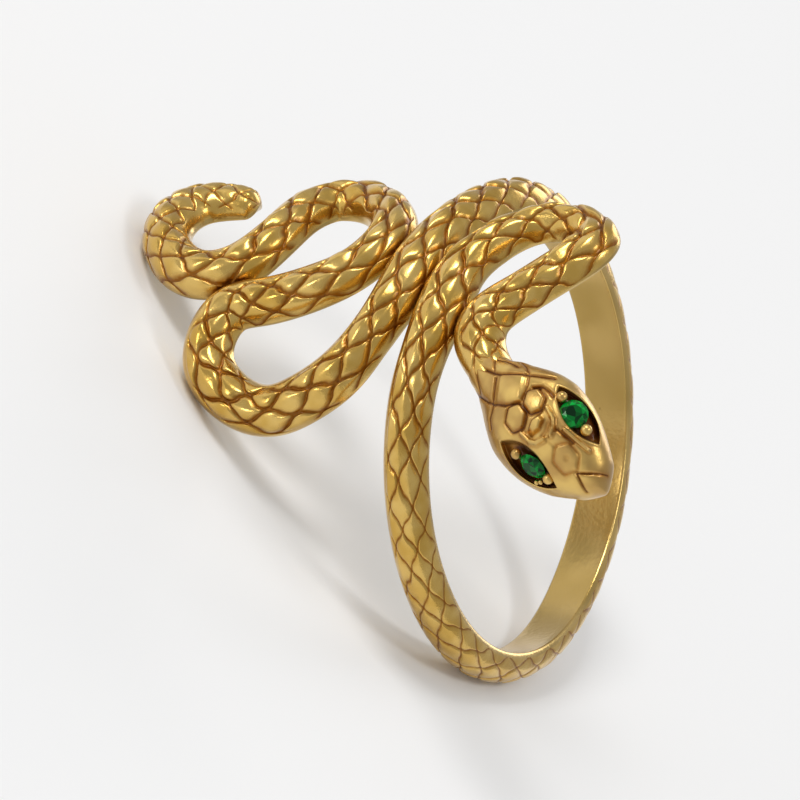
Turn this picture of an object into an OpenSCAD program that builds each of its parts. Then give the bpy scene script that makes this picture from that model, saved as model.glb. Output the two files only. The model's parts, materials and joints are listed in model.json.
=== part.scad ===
/* [Finger hollow] */
// Inside diameter of the hoop
finger_d = 17; // [14:0.5:21]

/* [Body] */
// Width of the body where it coils
band_w = 2; // [1.8:0.05:2.2]
// Thickness of the body where it coils
band_h = 1.25; // [1:0.05:1.6]
// Length of one scale along the body
scale_l = 1.4; // [1.2:0.1:1.8]
// Depth of the grooves between the scales
groove_d = 0.12; // [0.06:0.01:0.18]

/* [Coil] */
// Reach of the head-side bend from the plane of the hoop
head_side = 6.3; // [5.9:0.1:7]
// Reach of the tail's outer bend from the plane of the hoop
tail_side = 12.6; // [12:0.1:14]

/* [Head] */
// Length of the head from neck to snout
head_l = 7.2; // [6.6:0.1:8]
// Width of the head across its cheeks
head_w = 4.4; // [4:0.1:5]
// Height of the head above the finger
head_h = 2.15; // [2:0.05:2.6]
// Angle of the head below the finger's axis, in the rolled-out plan
head_aim = 44; // [38:1:52]
// Width of a raised plate on the head
plate_w = 0.72; // [0.5:0.02:0.9]
// Height that a raised plate stands out
plate_h = 0.12; // [0.06:0.01:0.2]

/* [Eyes] */
// Diameter of each round stone
stone_d = 1.15; // [1:0.05:1.3]
// Height of the stone above its girdle
crown_h = 0.2; // [0.14:0.01:0.26]
// Depth of the stone below its girdle
pavilion_h = 0.5; // [0.4:0.02:0.6]
// Length of the almond socket round a stone
socket_l = 2.9; // [2.7:0.1:3.2]
// Width of the almond socket
socket_w = 1.3; // [1.2:0.05:1.5]
// Depth of the almond socket
socket_d = 0.45; // [0.3:0.05:0.6]
// Diameter of a bead that holds the stone
bead_d = 0.42; // [0.36:0.02:0.5]
// Clearance between a stone and its seat
stone_gap = 0.04; // [0.03:0.01:0.08]

/* [Hidden] */

finger_r = finger_d / 2;
// Radius at which the rolled-out plan of the coil has its true size
plan_r = finger_r + band_h / 2;
// Length of the bore cut, past both ends of the hoop's wall
bore_l = 6 * band_w;

// One row for each bend or straight of the body, from neck to tail.
// TURN: angle round the finger in degrees.
// REACH: distance from the hoop's plane, a share of head_side or tail_side.
// BESIDE: further distance, a share of band_w, for strands that lie side by side.
// WIDE, HIGH: width and thickness, shares of band_w and band_h.
// UNDER: height of the underside above the finger, a share of band_h.
TURN = 0;
REACH = 1;
BESIDE = 2;
WIDE = 3;
HIGH = 4;
UNDER = 5;
ROUTE = [
    // Neck
    [13, 0.65, 0, 0.86, 1.08, 0.1],
    [19, 0.52, 0, 0.92, 1.08, 0.1],
    [25, 0.45, 0, 1.08, 1.04, 0.1],
    [31, 0.49, 0, 1.02, 1, 0.1],
    [38.2, 0.69, 0, 0.98, 0.96, 0.1],
    [46.4, 0.89, 0, 1.05, 0.96, 0.1],
    // Head-side bend
    [52.3, 1, 0, 1.02, 1, 0.1],
    [57.5, 0.99, 0, 0.96, 1, 0.1],
    [62, 0.87, 0, 0.86, 1.04, 0.1],
    [64, 0.67, 0, 0.84, 1.04, 0.1],
    [61, 0.48, 0, 0.84, 1.04, 0.1],
    [53.8, 0.3, 0, 0.9, 1, 0],
    // Strand that runs into the hoop
    [44.4, 0.03, 0.5, 1, 1, -0.12],
    [34, 0, 0.49, 1.12, 0.96, -0.12],
    [22, 0, 0.32, 0.94, 0.96, -0.12],
    [8, 0, 0.15, 0.9, 0.96, -0.12],
    // Hoop
    [-20, 0, 0, 0.88, 0.92, -0.12],
    [-60, 0, -0.08, 0.88, 0.92, -0.12],
    [-100, 0, -0.1, 0.88, 0.92, -0.12],
    [-140, 0, -0.12, 0.98, 0.92, -0.12],
    [-180, 0, 0, 0.96, 0.92, -0.12],
    [-220, 0, 0.13, 0.94, 0.96, -0.12],
    [-250, 0, 0.14, 0.96, 1.04, -0.12],
    [-270, 0, 0.1, 1, 1.08, -0.12],
    // Strand that leaves the hoop's top
    [-285, 0, -0.03, 1, 1.04, -0.12],
    [-300, 0, -0.27, 1.02, 1, -0.12],
    [-313, 0, -0.45, 1.06, 1, -0.12],
    [-324, -0.02, -0.45, 1.02, 1, -0.12],
    [-334, -0.06, -0.5, 0.92, 1, 0],
    [-344.3, -0.22, 0, 1.04, 1, 0.1],
    // Lower loop
    [-351.3, -0.34, 0, 1.05, 1, 0.1],
    [-354.8, -0.46, 0, 1.04, 1.04, 0.1],
    [-352, -0.58, 0, 1.05, 1.08, 0.1],
    [-344.6, -0.675, 0, 1.04, 1.08, 0.1],
    [-336, -0.69, 0, 1.02, 1.04, 0.1],
    [-327.4, -0.64, 0, 1.06, 1, 0.1],
    // Middle strand
    [-325.2, -0.51, 0, 1.04, 1, 0.1],
    [-321.2, -0.38, 0, 1.04, 1, 0.1],
    [-315.4, -0.27, 0, 1, 1, 0.1],
    // Second bend
    [-306, -0.06, -0.96, 0.98, 1.04, 0.1],
    [-296, -0.08, -0.96, 0.93, 1.08, 0.1],
    [-287.6, -0.315, 0, 0.94, 1.12, 0.1],
    [-282.5, -0.42, 0, 1.1, 1.16, 0.1],
    [-284, -0.52, 0, 1.05, 1.16, 0.1],
    [-293, -0.57, 0, 0.94, 1.12, 0.1],
    [-304, -0.59, 0, 0.92, 1.12, 0.1],
    // Tail
    [-314, -0.65, 0, 1.04, 1.12, 0.1],
    [-318, -0.75, 0, 1.06, 1.12, 0.1],
    [-315.5, -0.86, 0, 1.02, 1.12, 0.1],
    [-307, -0.96, 0, 0.96, 1.12, 0.1],
    [-297, -1, 0, 0.97, 1.12, 0.1],
    [-288, -0.985, 0, 1.02, 1.12, 0.1],
    [-283, -0.94, 0, 1, 1.12, 0.1],
    [-282.4, -0.89, 0, 1.06, 1.08, 0.1],
    [-283.9, -0.84, 0, 1, 0.96, 0.12],
    [-285.4, -0.81, 0, 0.66, 0.72, 0.16]
];
// Rows of ROUTE where the body is divided, so that no stretch meets itself
BREAKS = [7, 23, 34, 42];
// Steps of the smooth curve between two rows of ROUTE
STEPS = 8;

// One row for each section of the head, from neck to snout.
// ALONG: distance from the neck, a share of head_l.
// BROAD: width, a share of head_w. TALL: height, a share of head_h.
ALONG = 0;
BROAD = 1;
TALL = 2;
HEAD = [
    [0, 0.4, 0.62],
    [0.09, 0.48, 0.7],
    [0.18, 0.64, 0.8],
    [0.27, 0.8, 0.9],
    [0.36, 0.94, 0.96],
    [0.47, 1, 1],
    [0.58, 0.99, 0.99],
    [0.69, 0.9, 0.94],
    [0.79, 0.75, 0.85],
    [0.88, 0.57, 0.73],
    [0.95, 0.39, 0.6],
    [1, 0.2, 0.44]
];
// Place of the neck's end: angle round the finger, and share of head_side
HEAD_TURN = 16.5;
HEAD_REACH = 0.545;
// Height of the head's underside above the finger, a share of head_h
HEAD_UNDER = 0.06;
// Lean of the head's crown to the snake's left, away from the hoop, for each mm of height
HEAD_LEAN = 0.3;

// Short step for slopes, and the least difference that counts, in mm
SHORT = 0.05;
TINY = 0.000001;
// Rough upward direction at rest: outward from the finger, round it and along it
UP_GUESS = [0, 0.6, -0.8];

// Columns of points across the top of a section, and of the head's
COLUMNS = 9;
HEAD_COLUMNS = 11;
// Height of the plain edge below the scales, a share of the thickness
EDGE = 0.24;
// Half width of the underside, a share of the section's half width
INSIDE = 0.92;

// Place of each eye on the head: shares of head_l along and of head_w across
EYE_ALONG = 0.63;
EYE_SIDE = 0.31;
// Angle by which each almond socket turns in towards the snout
EYE_TOE = 4;
// Facets round a stone, and the width of its table, a share of stone_d
FACETS = 8;
TABLE = 0.58;

// One row for each bead round a stone, where X points to the snout.
// BEAD_TURN: its direction from the stone, in degrees towards the cheek.
// BEAD_SIZE: share of bead_d. BEAD_DEEP: depth of its middle, share of socket_d.
BEAD_TURN = 0;
BEAD_SIZE = 1;
BEAD_DEEP = 2;
BEADS = [
    [0, 1, 0.6],
    [180, 1, 0.6],
    [56, 0.7, 0.8]
];

// One row for each raised plate on the head.
// PLATE_ALONG, PLATE_SIDE: its middle, shares of head_l and head_w.
// PLATE_WIDE, PLATE_RISE: shares of plate_w and plate_h. PLATE_EDGES: its corners.
PLATE_ALONG = 0;
PLATE_SIDE = 1;
PLATE_WIDE = 2;
PLATE_RISE = 3;
PLATE_EDGES = 4;
PLATES = [
    [0.16, 0.13, 1.3, 0.8, 4],
    [0.16, -0.13, 1.3, 0.8, 4],
    [0.28, 0, 1.6, 0.8, 4],
    [0.42, 0.127, 1, 1, 6],
    [0.42, -0.127, 1, 1, 6],
    [0.53, 0, 1.5, 0.6, 6],
    [0.53, 0, 0.8, 1.6, 6],
    [0.74, 0, 1.3, 0.5, 6]
];
// Two grooves of the snout: where they meet along the head, and the angle of each
SNOUT_ALONG = 0.84;
SNOUT_TURN = 32;
// Length of a snout groove and depth of a plate's root, shares of plate_w
SNOUT_LONG = 1.6;
PLATE_ROOT = 0.25;

// Point at y along the finger's round, x along its axis to the head's side and
// h above its skin. The worn ring has +Z along the finger, to the tail's side.
function wrap(y, x, h) =
    let (a = y / plan_r * 180 / PI)
    [(finger_r + h) * cos(a), (finger_r + h) * sin(a), -x];

// A row of ROUTE as plan distances: round, along, width, thickness, underside
function placed(row) = [
    row[TURN] * PI / 180 * plan_r,
    row[REACH] * (row[REACH] > 0 ? head_side : tail_side) + row[BESIDE] * band_w,
    row[WIDE] * band_w,
    row[HIGH] * band_h,
    row[UNDER] * band_h
];
function curve(a, b, c, d, t) =
    (2 * b + (c - a) * t + (2 * a - 5 * b + 4 * c - d) * pow(t, 2)
    + (3 * b - a - 3 * c + d) * pow(t, 3)) / 2;
rows = [for (r = ROUTE) placed(r)];
last = len(rows) - 1;
fine = [
    for (i = [0:last - 1], s = [0:STEPS - 1])
        curve(rows[max(i - 1, 0)], rows[i], rows[i + 1], rows[min(i + 2, last)], s / STEPS),
    rows[last]
];
function step_l(i) = norm([fine[i][0] - fine[i - 1][0], fine[i][1] - fine[i - 1][1]]);
// Length of the body up to each point of the smooth curve
run = [for (i = 0, d = 0; i < len(fine); i = i + 1, d = d + (i < len(fine) ? step_l(i) : 0)) d];
body_l = run[len(run) - 1];
rings = round(body_l / (scale_l / 2));
function column(k) = [for (i = [0:len(fine) - 1]) [run[i], fine[i][k]]];
columns = [for (k = [0:4]) column(k)];
function at(d, k) = lookup(d, columns[k]);
// Ring of the body that lies nearest to a row of ROUTE
function ring_of(row) = round(run[row * STEPS] / body_l * rings);

// Direction to the snake's left in the plan, from a short step each way
function side_of(d) =
    let (e = scale_l / 8, dy = at(d + e, 0) - at(d - e, 0), dx = at(d + e, 1) - at(d - e, 1))
    [dx, -dy] / norm([dy, dx]);

// Height of a domed section across its width, from 0 at the edge to 1
function dome(c, count) = EDGE + (1 - EDGE) * sin(180 * c / (count - 1));
function across(c, count) = -cos(180 * c / (count - 1));

// Points of ring i: its underside's first corner, the top, and its last corner
function ring(i) =
    let (
        d = i / rings * body_l,
        n = side_of(d),
        half = at(d, 2) / 2,
        top = [
            for (c = [0:COLUMNS - 1])
                let (
                    low = (i + c) % 2 == 0 && c > 0 && c < COLUMNS - 1 ? groove_d : 0,
                    s = across(c, COLUMNS) * half
                )
                wrap(at(d, 0) + n[0] * s, at(d, 1) + n[1] * s, dome(c, COLUMNS) * at(d, 3) - low)
        ],
        s = INSIDE * half,
        h = at(d, 4)
    )
    concat(
        [wrap(at(d, 0) - n[0] * s, at(d, 1) - n[1] * s, h)],
        top,
        [wrap(at(d, 0) + n[0] * s, at(d, 1) + n[1] * s, h)]
    );

// Skin between two rings of count points, each square split along its groove
function skin(i, count, odd) = [
    for (k = [0:count - 1])
        let (a = i * count + k, b = i * count + (k + 1) % count, c = b + count, d = a + count)
        each (i + k + odd) % 2 == 0 ? [[a, b, d], [b, c, d]] : [[a, b, c], [a, c, d]]
];

// Closed solid through a list of rings, all with the same number of points
module loft(sections, odd) {
    count = len(sections[0]);
    end = len(sections) - 1;
    polyhedron(
        [for (s = sections) each s],
        concat(
            [for (k = [1:count - 2]) [0, k + 1, k]],
            [for (i = [0:end - 1]) each skin(i, count, odd)],
            [for (k = [1:count - 2]) [end * count, end * count + k, end * count + k + 1]]
        ),
        convexity = 4
    );
}

// Direction of the head in the plan, and a point of the head's own plan
aim = [-sin(head_aim), cos(head_aim)];
neck = [HEAD_TURN * PI / 180 * plan_r, HEAD_REACH * head_side];
function head_plan(along, side) = neck + aim * along + [aim[1], -aim[0]] * side;
function head_point(along, side, h) =
    let (p = head_plan(along, side + h * HEAD_LEAN))
    wrap(p[0], p[1], h);
function head_ring(row) =
    let (
        half = row[BROAD] * head_w / 2,
        u = row[ALONG] * head_l,
        low = HEAD_UNDER * head_h
    )
    concat(
        [head_point(u, -INSIDE * half, low)],
        [
            for (c = [0:HEAD_COLUMNS - 1])
                let (h = dome(c, HEAD_COLUMNS) * row[TALL] * head_h)
                head_point(u, across(c, HEAD_COLUMNS) * half, h)
        ],
        [head_point(u, INSIDE * half, low)]
    );
broad_at = [for (r = HEAD) [r[ALONG] * head_l, r[BROAD] * head_w / 2]];
tall_at = [for (r = HEAD) [r[ALONG] * head_l, r[TALL] * head_h]];
// Height of the head's surface at a place on it, and its slope in degrees
function head_top(u, v) =
    let (x = min(1, abs(v) / lookup(u, broad_at)))
    (EDGE + (1 - EDGE) * sqrt(1 - x * x)) * lookup(u, tall_at);
function slope(rise) = atan(rise / (2 * SHORT));
function pitch_at(u, v) = -slope(head_top(u + SHORT, v) - head_top(u - SHORT, v));
function lean_at(u, v) = slope(head_top(u, v + SHORT) - head_top(u, v - SHORT));

// Sets children on the head's surface, their +X to the snout and +Z outward
module on_head(u, v) {
    h = head_top(u, v);
    p = head_plan(u, v + h * HEAD_LEAN);
    rotate([0, 0, p[0] / plan_r * 180 / PI])
        translate([finger_r + h, 0, -p[1]])
            multmatrix([[0, 0, 1, 0], [aim[0], aim[1], 0, 0], [-aim[1], aim[0], 0, 0]])
                rotate([lean_at(u, v), pitch_at(u, v), 0])
                    children();
}

// Sets children on an eye: side 1 is the snake's left, and -1 its right
module on_eye(side) {
    on_head(EYE_ALONG * head_l, side * EYE_SIDE * head_w)
        mirror([0, side < 0 ? 1 : 0, 0])
            rotate([0, 0, -EYE_TOE])
                children();
}

// Almond hollow of two arcs, and the cone under it where the stone sits
module socket() {
    arc_r = (pow(socket_l, 2) + pow(socket_w, 2)) / (4 * socket_w);
    shift = arc_r - socket_w / 2;
    intersection() {
        translate([0, shift, -socket_d])
            cylinder(h = head_h, r = arc_r, $fn = 96);
        translate([0, -shift, -socket_d])
            cylinder(h = head_h, r = arc_r, $fn = 96);
    }
    translate([0, 0, -crown_h - pavilion_h - stone_gap])
        cylinder(h = pavilion_h, r1 = 0, r2 = stone_d / 2 + stone_gap, $fn = 48);
}

module beads() {
    for (b = BEADS) {
        r = b[BEAD_SIZE] * bead_d / 2;
        rotate([0, 0, b[BEAD_TURN]])
            translate([stone_d / 2 + stone_gap + r, 0, -b[BEAD_DEEP] * socket_d])
                sphere(r = r, $fn = 32);
    }
}

module plate(row) {
    on_head(row[PLATE_ALONG] * head_l, row[PLATE_SIDE] * head_w)
        translate([0, 0, -PLATE_ROOT * plate_w])
            cylinder(
                h = PLATE_ROOT * plate_w + row[PLATE_RISE] * plate_h,
                d = row[PLATE_WIDE] * plate_w,
                $fn = row[PLATE_EDGES]
            );
}

module snout_groove(side) {
    on_head(SNOUT_ALONG * head_l, 0)
        rotate([0, 0, side * SNOUT_TURN])
            translate([0, -groove_d / 2, -groove_d])
                cube([plate_w * SNOUT_LONG, groove_d, head_h]);
}

module head() {
    difference() {
        union() {
            loft([for (r = HEAD) head_ring(r)], 0);
            for (row = PLATES)
                plate(row);
        }
        for (side = [-1, 1]) {
            on_eye(side) socket();
            snout_groove(side);
        }
    }
    for (side = [-1, 1])
        on_eye(side) beads();
}

// The body in stretches that meet end to end, so that none crosses itself
module body() {
    ends = concat([0], [for (b = BREAKS) ring_of(b)], [rings]);
    for (p = [0:len(ends) - 2])
        loft([for (i = [ends[p]:ends[p + 1]]) ring(i)], ends[p] % 2);
}

// Cut stone with its table at the head's surface: a crown of triangles round the
// table, a sharp girdle with two corners for each facet, and a point below
module stone() {
    turn = 360 / FACETS;
    rim = 2 * FACETS;
    tip = FACETS + rim;
    polyhedron(
        concat(
            [for (i = [0:FACETS - 1]) [cos(i * turn), sin(i * turn), 0] * stone_d * TABLE / 2],
            [
                for (i = [0:rim - 1])
                    [cos(i * turn / 2) * stone_d / 2, sin(i * turn / 2) * stone_d / 2, -crown_h]
            ],
            [[0, 0, -crown_h - pavilion_h]]
        ),
        concat(
            [[for (i = [FACETS - 1:-1:0]) i]],
            [
                for (i = [0:FACETS - 1])
                    let (
                        next = (i + 1) % FACETS,
                        here = FACETS + 2 * i,
                        after = here + 1,
                        before = FACETS + (2 * i + rim - 1) % rim
                    )
                    each [[i, after, here], [i, here, before], [i, next, after]]
            ],
            [for (j = [0:rim - 1]) [FACETS + j, FACETS + (j + 1) % rim, tip]]
        )
    );
}

// The ring lies on its side on three feet: the hoop, the tail and the lower loop.
// FEET: for each foot, the first and the last row of ROUTE that may touch.
FEET = [[15, 21], [44, 49], [30, 36]];
function unit(v) = v / norm(v);
function stretch(rows) = [for (i = [ring_of(rows[0]):ring_of(rows[1])]) each ring(i)];
feet = [for (f = FEET) stretch(f)];
function lowest(points, up) =
    let (low = min([for (p = points) p * up]))
    [for (p = points) if (p * up <= low + TINY) p][0];
// Upward direction at rest, found by letting the ring settle on its feet
function settle(up, times) =
    times == 0 ? up :
    let (
        a = lowest(feet[0], up),
        b = lowest(feet[1], up),
        c = lowest(feet[2], up),
        n = unit(cross(b - a, c - a))
    )
    settle(n * sign(n * up), times - 1);
up = settle(unit(UP_GUESS), 6);
// Level direction from the hoop's foot to the tail's, and the one across it
reach = lowest(feet[1], up) - lowest(feet[0], up);
right = unit(reach - up * (reach * up));
deep = cross(up, right);
outline = concat([for (i = [0:rings]) each ring(i)], [for (r = HEAD) each head_ring(r)]);
function least(v) = min([for (p = outline) p * v]);
function most(v) = max([for (p = outline) p * v]);
centre = [(least(right) + most(right)) / 2, (least(deep) + most(deep)) / 2, least(up)];

// Lays children down with the middle of the ring's footprint at the origin
module laid() {
    translate(-centre)
        multmatrix([[each right, 0], [each deep, 0], [each up, 0]])
            children();
}

module snake() {
    color("goldenrod")
        laid()
            difference() {
                union() {
                    body();
                    head();
                }
                cylinder(h = bore_l, r = finger_r, center = true, $fn = 180);
            }
}

module left_eye() {
    color("green")
        laid()
            on_eye(1) stone();
}

module right_eye() {
    color("green")
        laid()
            on_eye(-1) stone();
}

snake();
left_eye();
right_eye();
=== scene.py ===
# %% [markdown]
# A gold snake ring, seen from near. The CAD part gives the true size of every piece: a plain hoop
# for the finger, a body that leaves it on both sides in wide bends, a tail and a head. This script
# dresses that frame: it carves the scales, sets the two green stones and polishes the gold.
# The packed part is loaded first, because every place below is worked out from it.

# %% Load the packed ring
import json
import math

import bmesh
import bpy
import numpy as np
from mathutils import Matrix, Vector


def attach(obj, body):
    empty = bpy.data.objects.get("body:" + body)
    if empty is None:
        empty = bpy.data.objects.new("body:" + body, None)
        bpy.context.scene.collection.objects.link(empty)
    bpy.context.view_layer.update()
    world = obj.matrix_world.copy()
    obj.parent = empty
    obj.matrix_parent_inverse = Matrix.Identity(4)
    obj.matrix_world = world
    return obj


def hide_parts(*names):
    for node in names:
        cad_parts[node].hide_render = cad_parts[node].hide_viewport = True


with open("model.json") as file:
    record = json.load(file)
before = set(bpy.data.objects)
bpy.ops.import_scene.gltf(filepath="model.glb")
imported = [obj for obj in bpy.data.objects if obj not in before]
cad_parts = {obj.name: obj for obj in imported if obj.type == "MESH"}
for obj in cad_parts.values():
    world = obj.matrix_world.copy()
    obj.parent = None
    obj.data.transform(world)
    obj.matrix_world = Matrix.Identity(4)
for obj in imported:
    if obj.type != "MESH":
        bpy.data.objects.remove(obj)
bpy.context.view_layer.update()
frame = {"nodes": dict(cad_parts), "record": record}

MM = 0.001


# %% [markdown]
# A ring like this is drawn flat first, as a jeweller draws it on paper, and then wrapped round the
# finger. So a place on it has two plan distances: the turn round the finger and the reach along it.
# The tables repeat the CAD part's own, so the dressed snake lies where the solid one does; only the
# tail curls a little more evenly here. A loft through these few rows is easier to correct than a
# curve with hundreds of points.

# %% Sizes of the ring, in millimetres
finger_r = 8.5
band_w = 2.0
band_h = 1.25
plan_r = finger_r + band_h / 2
head_side = 6.3
tail_side = 12.6
head_l = 7.2
head_w = 4.4
head_h = 2.15
head_aim = math.radians(44)

# Share of the height at which the dome of a section begins, and half width of its flat underside
EDGE = 0.24
INSIDE = 0.92
print("bore", 2 * finger_r, "mm, body", band_w, "mm wide, head", head_l, "mm long")

# %% Route of the body, from the neck to the tail's tip
# TURN: degrees round the finger. REACH: share of head_side where above 0, or else of tail_side.
# BESIDE: sideways step, share of band_w. WIDE, HIGH: shares of band_w and band_h.
# UNDER: height of the underside over the finger, share of band_h.
TURN, REACH, BESIDE, WIDE, HIGH, UNDER = range(6)
NECK = [
    [13, 0.65, 0, 0.86, 1.08, 0.1],
    [19, 0.52, 0, 0.92, 1.08, 0.1],
    [25, 0.45, 0, 1.08, 1.04, 0.1],
    [31, 0.49, 0, 1.02, 1, 0.1],
    [38.2, 0.69, 0, 0.98, 0.96, 0.1],
    [46.4, 0.89, 0, 1.05, 0.96, 0.1],
]
HEAD_SIDE_BEND = [
    [52.3, 1, 0, 1.02, 1, 0.1],
    [57.5, 0.99, 0, 0.96, 1, 0.1],
    [62, 0.87, 0, 0.86, 1.04, 0.1],
    [64, 0.67, 0, 0.84, 1.04, 0.1],
    [61, 0.48, 0, 0.84, 1.04, 0.1],
    [53.8, 0.3, 0, 0.9, 1, 0],
]
INTO_THE_HOOP = [
    [44.4, 0.03, 0.5, 1, 1, -0.12],
    [34, 0, 0.49, 1.12, 0.96, -0.12],
    [22, 0, 0.32, 0.94, 0.96, -0.12],
    [8, 0, 0.15, 0.9, 0.96, -0.12],
]
HOOP = [
    [-20, 0, 0, 0.88, 0.92, -0.12],
    [-60, 0, -0.08, 0.88, 0.92, -0.12],
    [-100, 0, -0.1, 0.88, 0.92, -0.12],
    [-140, 0, -0.12, 0.98, 0.92, -0.12],
    [-180, 0, 0, 0.96, 0.92, -0.12],
    [-220, 0, 0.13, 0.94, 0.96, -0.12],
    [-250, 0, 0.14, 0.96, 1.04, -0.12],
    [-270, 0, 0.1, 1, 1.08, -0.12],
]
OUT_OF_THE_HOOP = [
    [-285, 0, -0.03, 1, 1.04, -0.12],
    [-300, 0, -0.27, 1.02, 1, -0.12],
    [-313, 0, -0.45, 1.06, 1, -0.12],
    [-324, -0.02, -0.45, 1.02, 1, -0.12],
    [-334, -0.06, -0.5, 0.92, 1, 0],
    [-344.3, -0.22, 0, 1.04, 1, 0.1],
]
LOWER_LOOP = [
    [-351.3, -0.34, 0, 1.05, 1, 0.1],
    [-354.8, -0.46, 0, 1.04, 1.04, 0.1],
    [-352, -0.58, 0, 1.05, 1.08, 0.1],
    [-344.6, -0.675, 0, 1.04, 1.08, 0.1],
    [-336, -0.69, 0, 1.02, 1.04, 0.1],
    [-327.4, -0.64, 0, 1.06, 1, 0.1],
    [-325.2, -0.51, 0, 1.04, 1, 0.1],
    [-321.2, -0.38, 0, 1.04, 1, 0.1],
    [-315.4, -0.27, 0, 1, 1, 0.1],
]
SECOND_BEND = [
    [-306, -0.06, -0.96, 0.98, 1.04, 0.1],
    [-296, -0.08, -0.96, 0.93, 1.08, 0.1],
    [-287.6, -0.315, 0, 0.94, 1.12, 0.1],
    [-282.5, -0.42, 0, 1.1, 1.16, 0.1],
    [-284, -0.52, 0, 1.05, 1.16, 0.1],
    [-293, -0.57, 0, 0.94, 1.12, 0.1],
    [-304, -0.59, 0, 0.92, 1.12, 0.1],
]
TAIL = [
    [-314, -0.65, 0, 1.04, 1.12, 0.1],
    [-318, -0.75, 0, 1.06, 1.12, 0.1],
    [-315.5, -0.86, 0, 1.02, 1.12, 0.1],
    [-307, -0.96, 0, 0.96, 1.12, 0.1],
    [-298, -0.995, 0, 1.02, 1.14, 0.1],
    [-290, -0.985, 0, 1.08, 1.16, 0.1],
    [-285.7, -0.945, 0, 1.08, 1.16, 0.1],
    [-283.9, -0.895, 0, 1.04, 1.1, 0.1],
    [-283.4, -0.845, 0, 0.97, 1.02, 0.1],
    [-283.4, -0.81, 0, 0.86, 0.93, 0.1],
]
ROUTE = NECK + HEAD_SIDE_BEND + INTO_THE_HOOP + HOOP + OUT_OF_THE_HOOP + LOWER_LOOP + SECOND_BEND + TAIL
print(len(ROUTE), "rows from the neck to the tail")

# %% Outline of the head, from the neck to the snout
# ALONG: share of head_l. BROAD, TALL: shares of head_w and head_h.
ALONG, BROAD, TALL = range(3)
HEAD = np.array([
    [0, 0.4, 0.62],
    [0.09, 0.48, 0.7],
    [0.18, 0.64, 0.8],
    [0.27, 0.8, 0.9],
    [0.36, 0.94, 0.96],
    [0.47, 1, 1],
    [0.58, 0.99, 0.99],
    [0.69, 0.9, 0.94],
    [0.79, 0.75, 0.85],
    [0.88, 0.57, 0.73],
    [0.95, 0.39, 0.6],
    [1, 0.2, 0.44],
])
HEAD_TURN = 16.5
HEAD_REACH = 0.545
HEAD_UNDER = 0.06
HEAD_LEAN = 0.3
EYE_ALONG = 0.63
EYE_SIDE = 0.31
HEAD_AT, HEAD_HALF, HEAD_TALL = HEAD[:, ALONG] * head_l, HEAD[:, BROAD] * head_w / 2, HEAD[:, TALL] * head_h
print(len(HEAD), "rows for the head, its widest place", 2 * max(HEAD_HALF), "mm wide")

# %% [markdown]
# The CAD part lies on its side, as the ring would on a table, so the plan has to be turned to it.
# Two things in the part say how: the bore mount gives the finger's axis, and a stone's flat table
# gives one point whose place in the plan is known. That is enough to turn one frame to the other,
# and it stays true if the part is ever laid down another way.

# %% Wrap the plan round the finger
def wrapped(turn, reach, height):
    """Point over the finger's skin, from its plan distances and its height, in millimetres.

    The worn ring has its third axis along the finger, to the tail's side."""
    angle = turn / plan_r
    radius = finger_r + height
    return np.stack([radius * np.cos(angle), radius * np.sin(angle), -reach], -1)


aim = np.array([-math.sin(head_aim), math.cos(head_aim)])
neck = np.array([math.radians(HEAD_TURN) * plan_r, HEAD_REACH * head_side])


def smooth_lookup(x, known_x, known_y):
    """Value at x on a smooth curve through a table's points."""
    slope = np.gradient(known_y, known_x)
    i = np.clip(np.searchsorted(known_x, x) - 1, 0, len(known_x) - 2)
    step = known_x[i + 1] - known_x[i]
    t = np.clip((x - known_x[i]) / step, 0, 1)
    low = (1 + 2 * t) * (1 - t) ** 2 * known_y[i] + t * (1 - t) ** 2 * step * slope[i]
    high = t**2 * (3 - 2 * t) * known_y[i + 1] - t**2 * (1 - t) * step * slope[i + 1]
    return low + high


def head_point(along, side, height, lean=HEAD_LEAN):
    """Point of the head from its own plan; its crown leans to the snake's left."""
    side = side + height * lean
    turn = neck[0] + aim[0] * along + aim[1] * side
    reach = neck[1] + aim[1] * along - aim[0] * side
    return wrapped(turn, reach, height)


def head_top(along, side):
    """Height of the head's smooth surface, straight lines between the table's rows as in the CAD."""
    half = np.interp(along, HEAD_AT, HEAD_HALF)
    tall = np.interp(along, HEAD_AT, HEAD_TALL)
    share = np.minimum(1, np.abs(side) / half)
    return (EDGE + (1 - EDGE) * np.sqrt(1 - share**2)) * tall


print("the head begins at", neck.round(2), "mm in the plan")

# %% Find each stone's flat table in the CAD part
def table_of(node):
    """Middle and outward direction of a node's largest flat face, in metres."""
    mesh = frame["nodes"][node].data
    faces = {}
    for face in mesh.polygons:
        key = tuple(round(v, 2) for v in face.normal)
        faces.setdefault(key, []).append(face)
    flat = max(faces.values(), key=lambda group: sum(f.area for f in group))
    area = sum(f.area for f in flat)
    middle = sum((f.center * f.area for f in flat), Vector()) / area
    return middle, flat[0].normal.copy()


STONES = {"left_eye": 1, "right_eye": -1}
tables = {name: table_of(name) for name in STONES}
for name, (centre, normal) in tables.items():
    print(name, "table at", [round(v / MM, 2) for v in centre], "mm")

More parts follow.
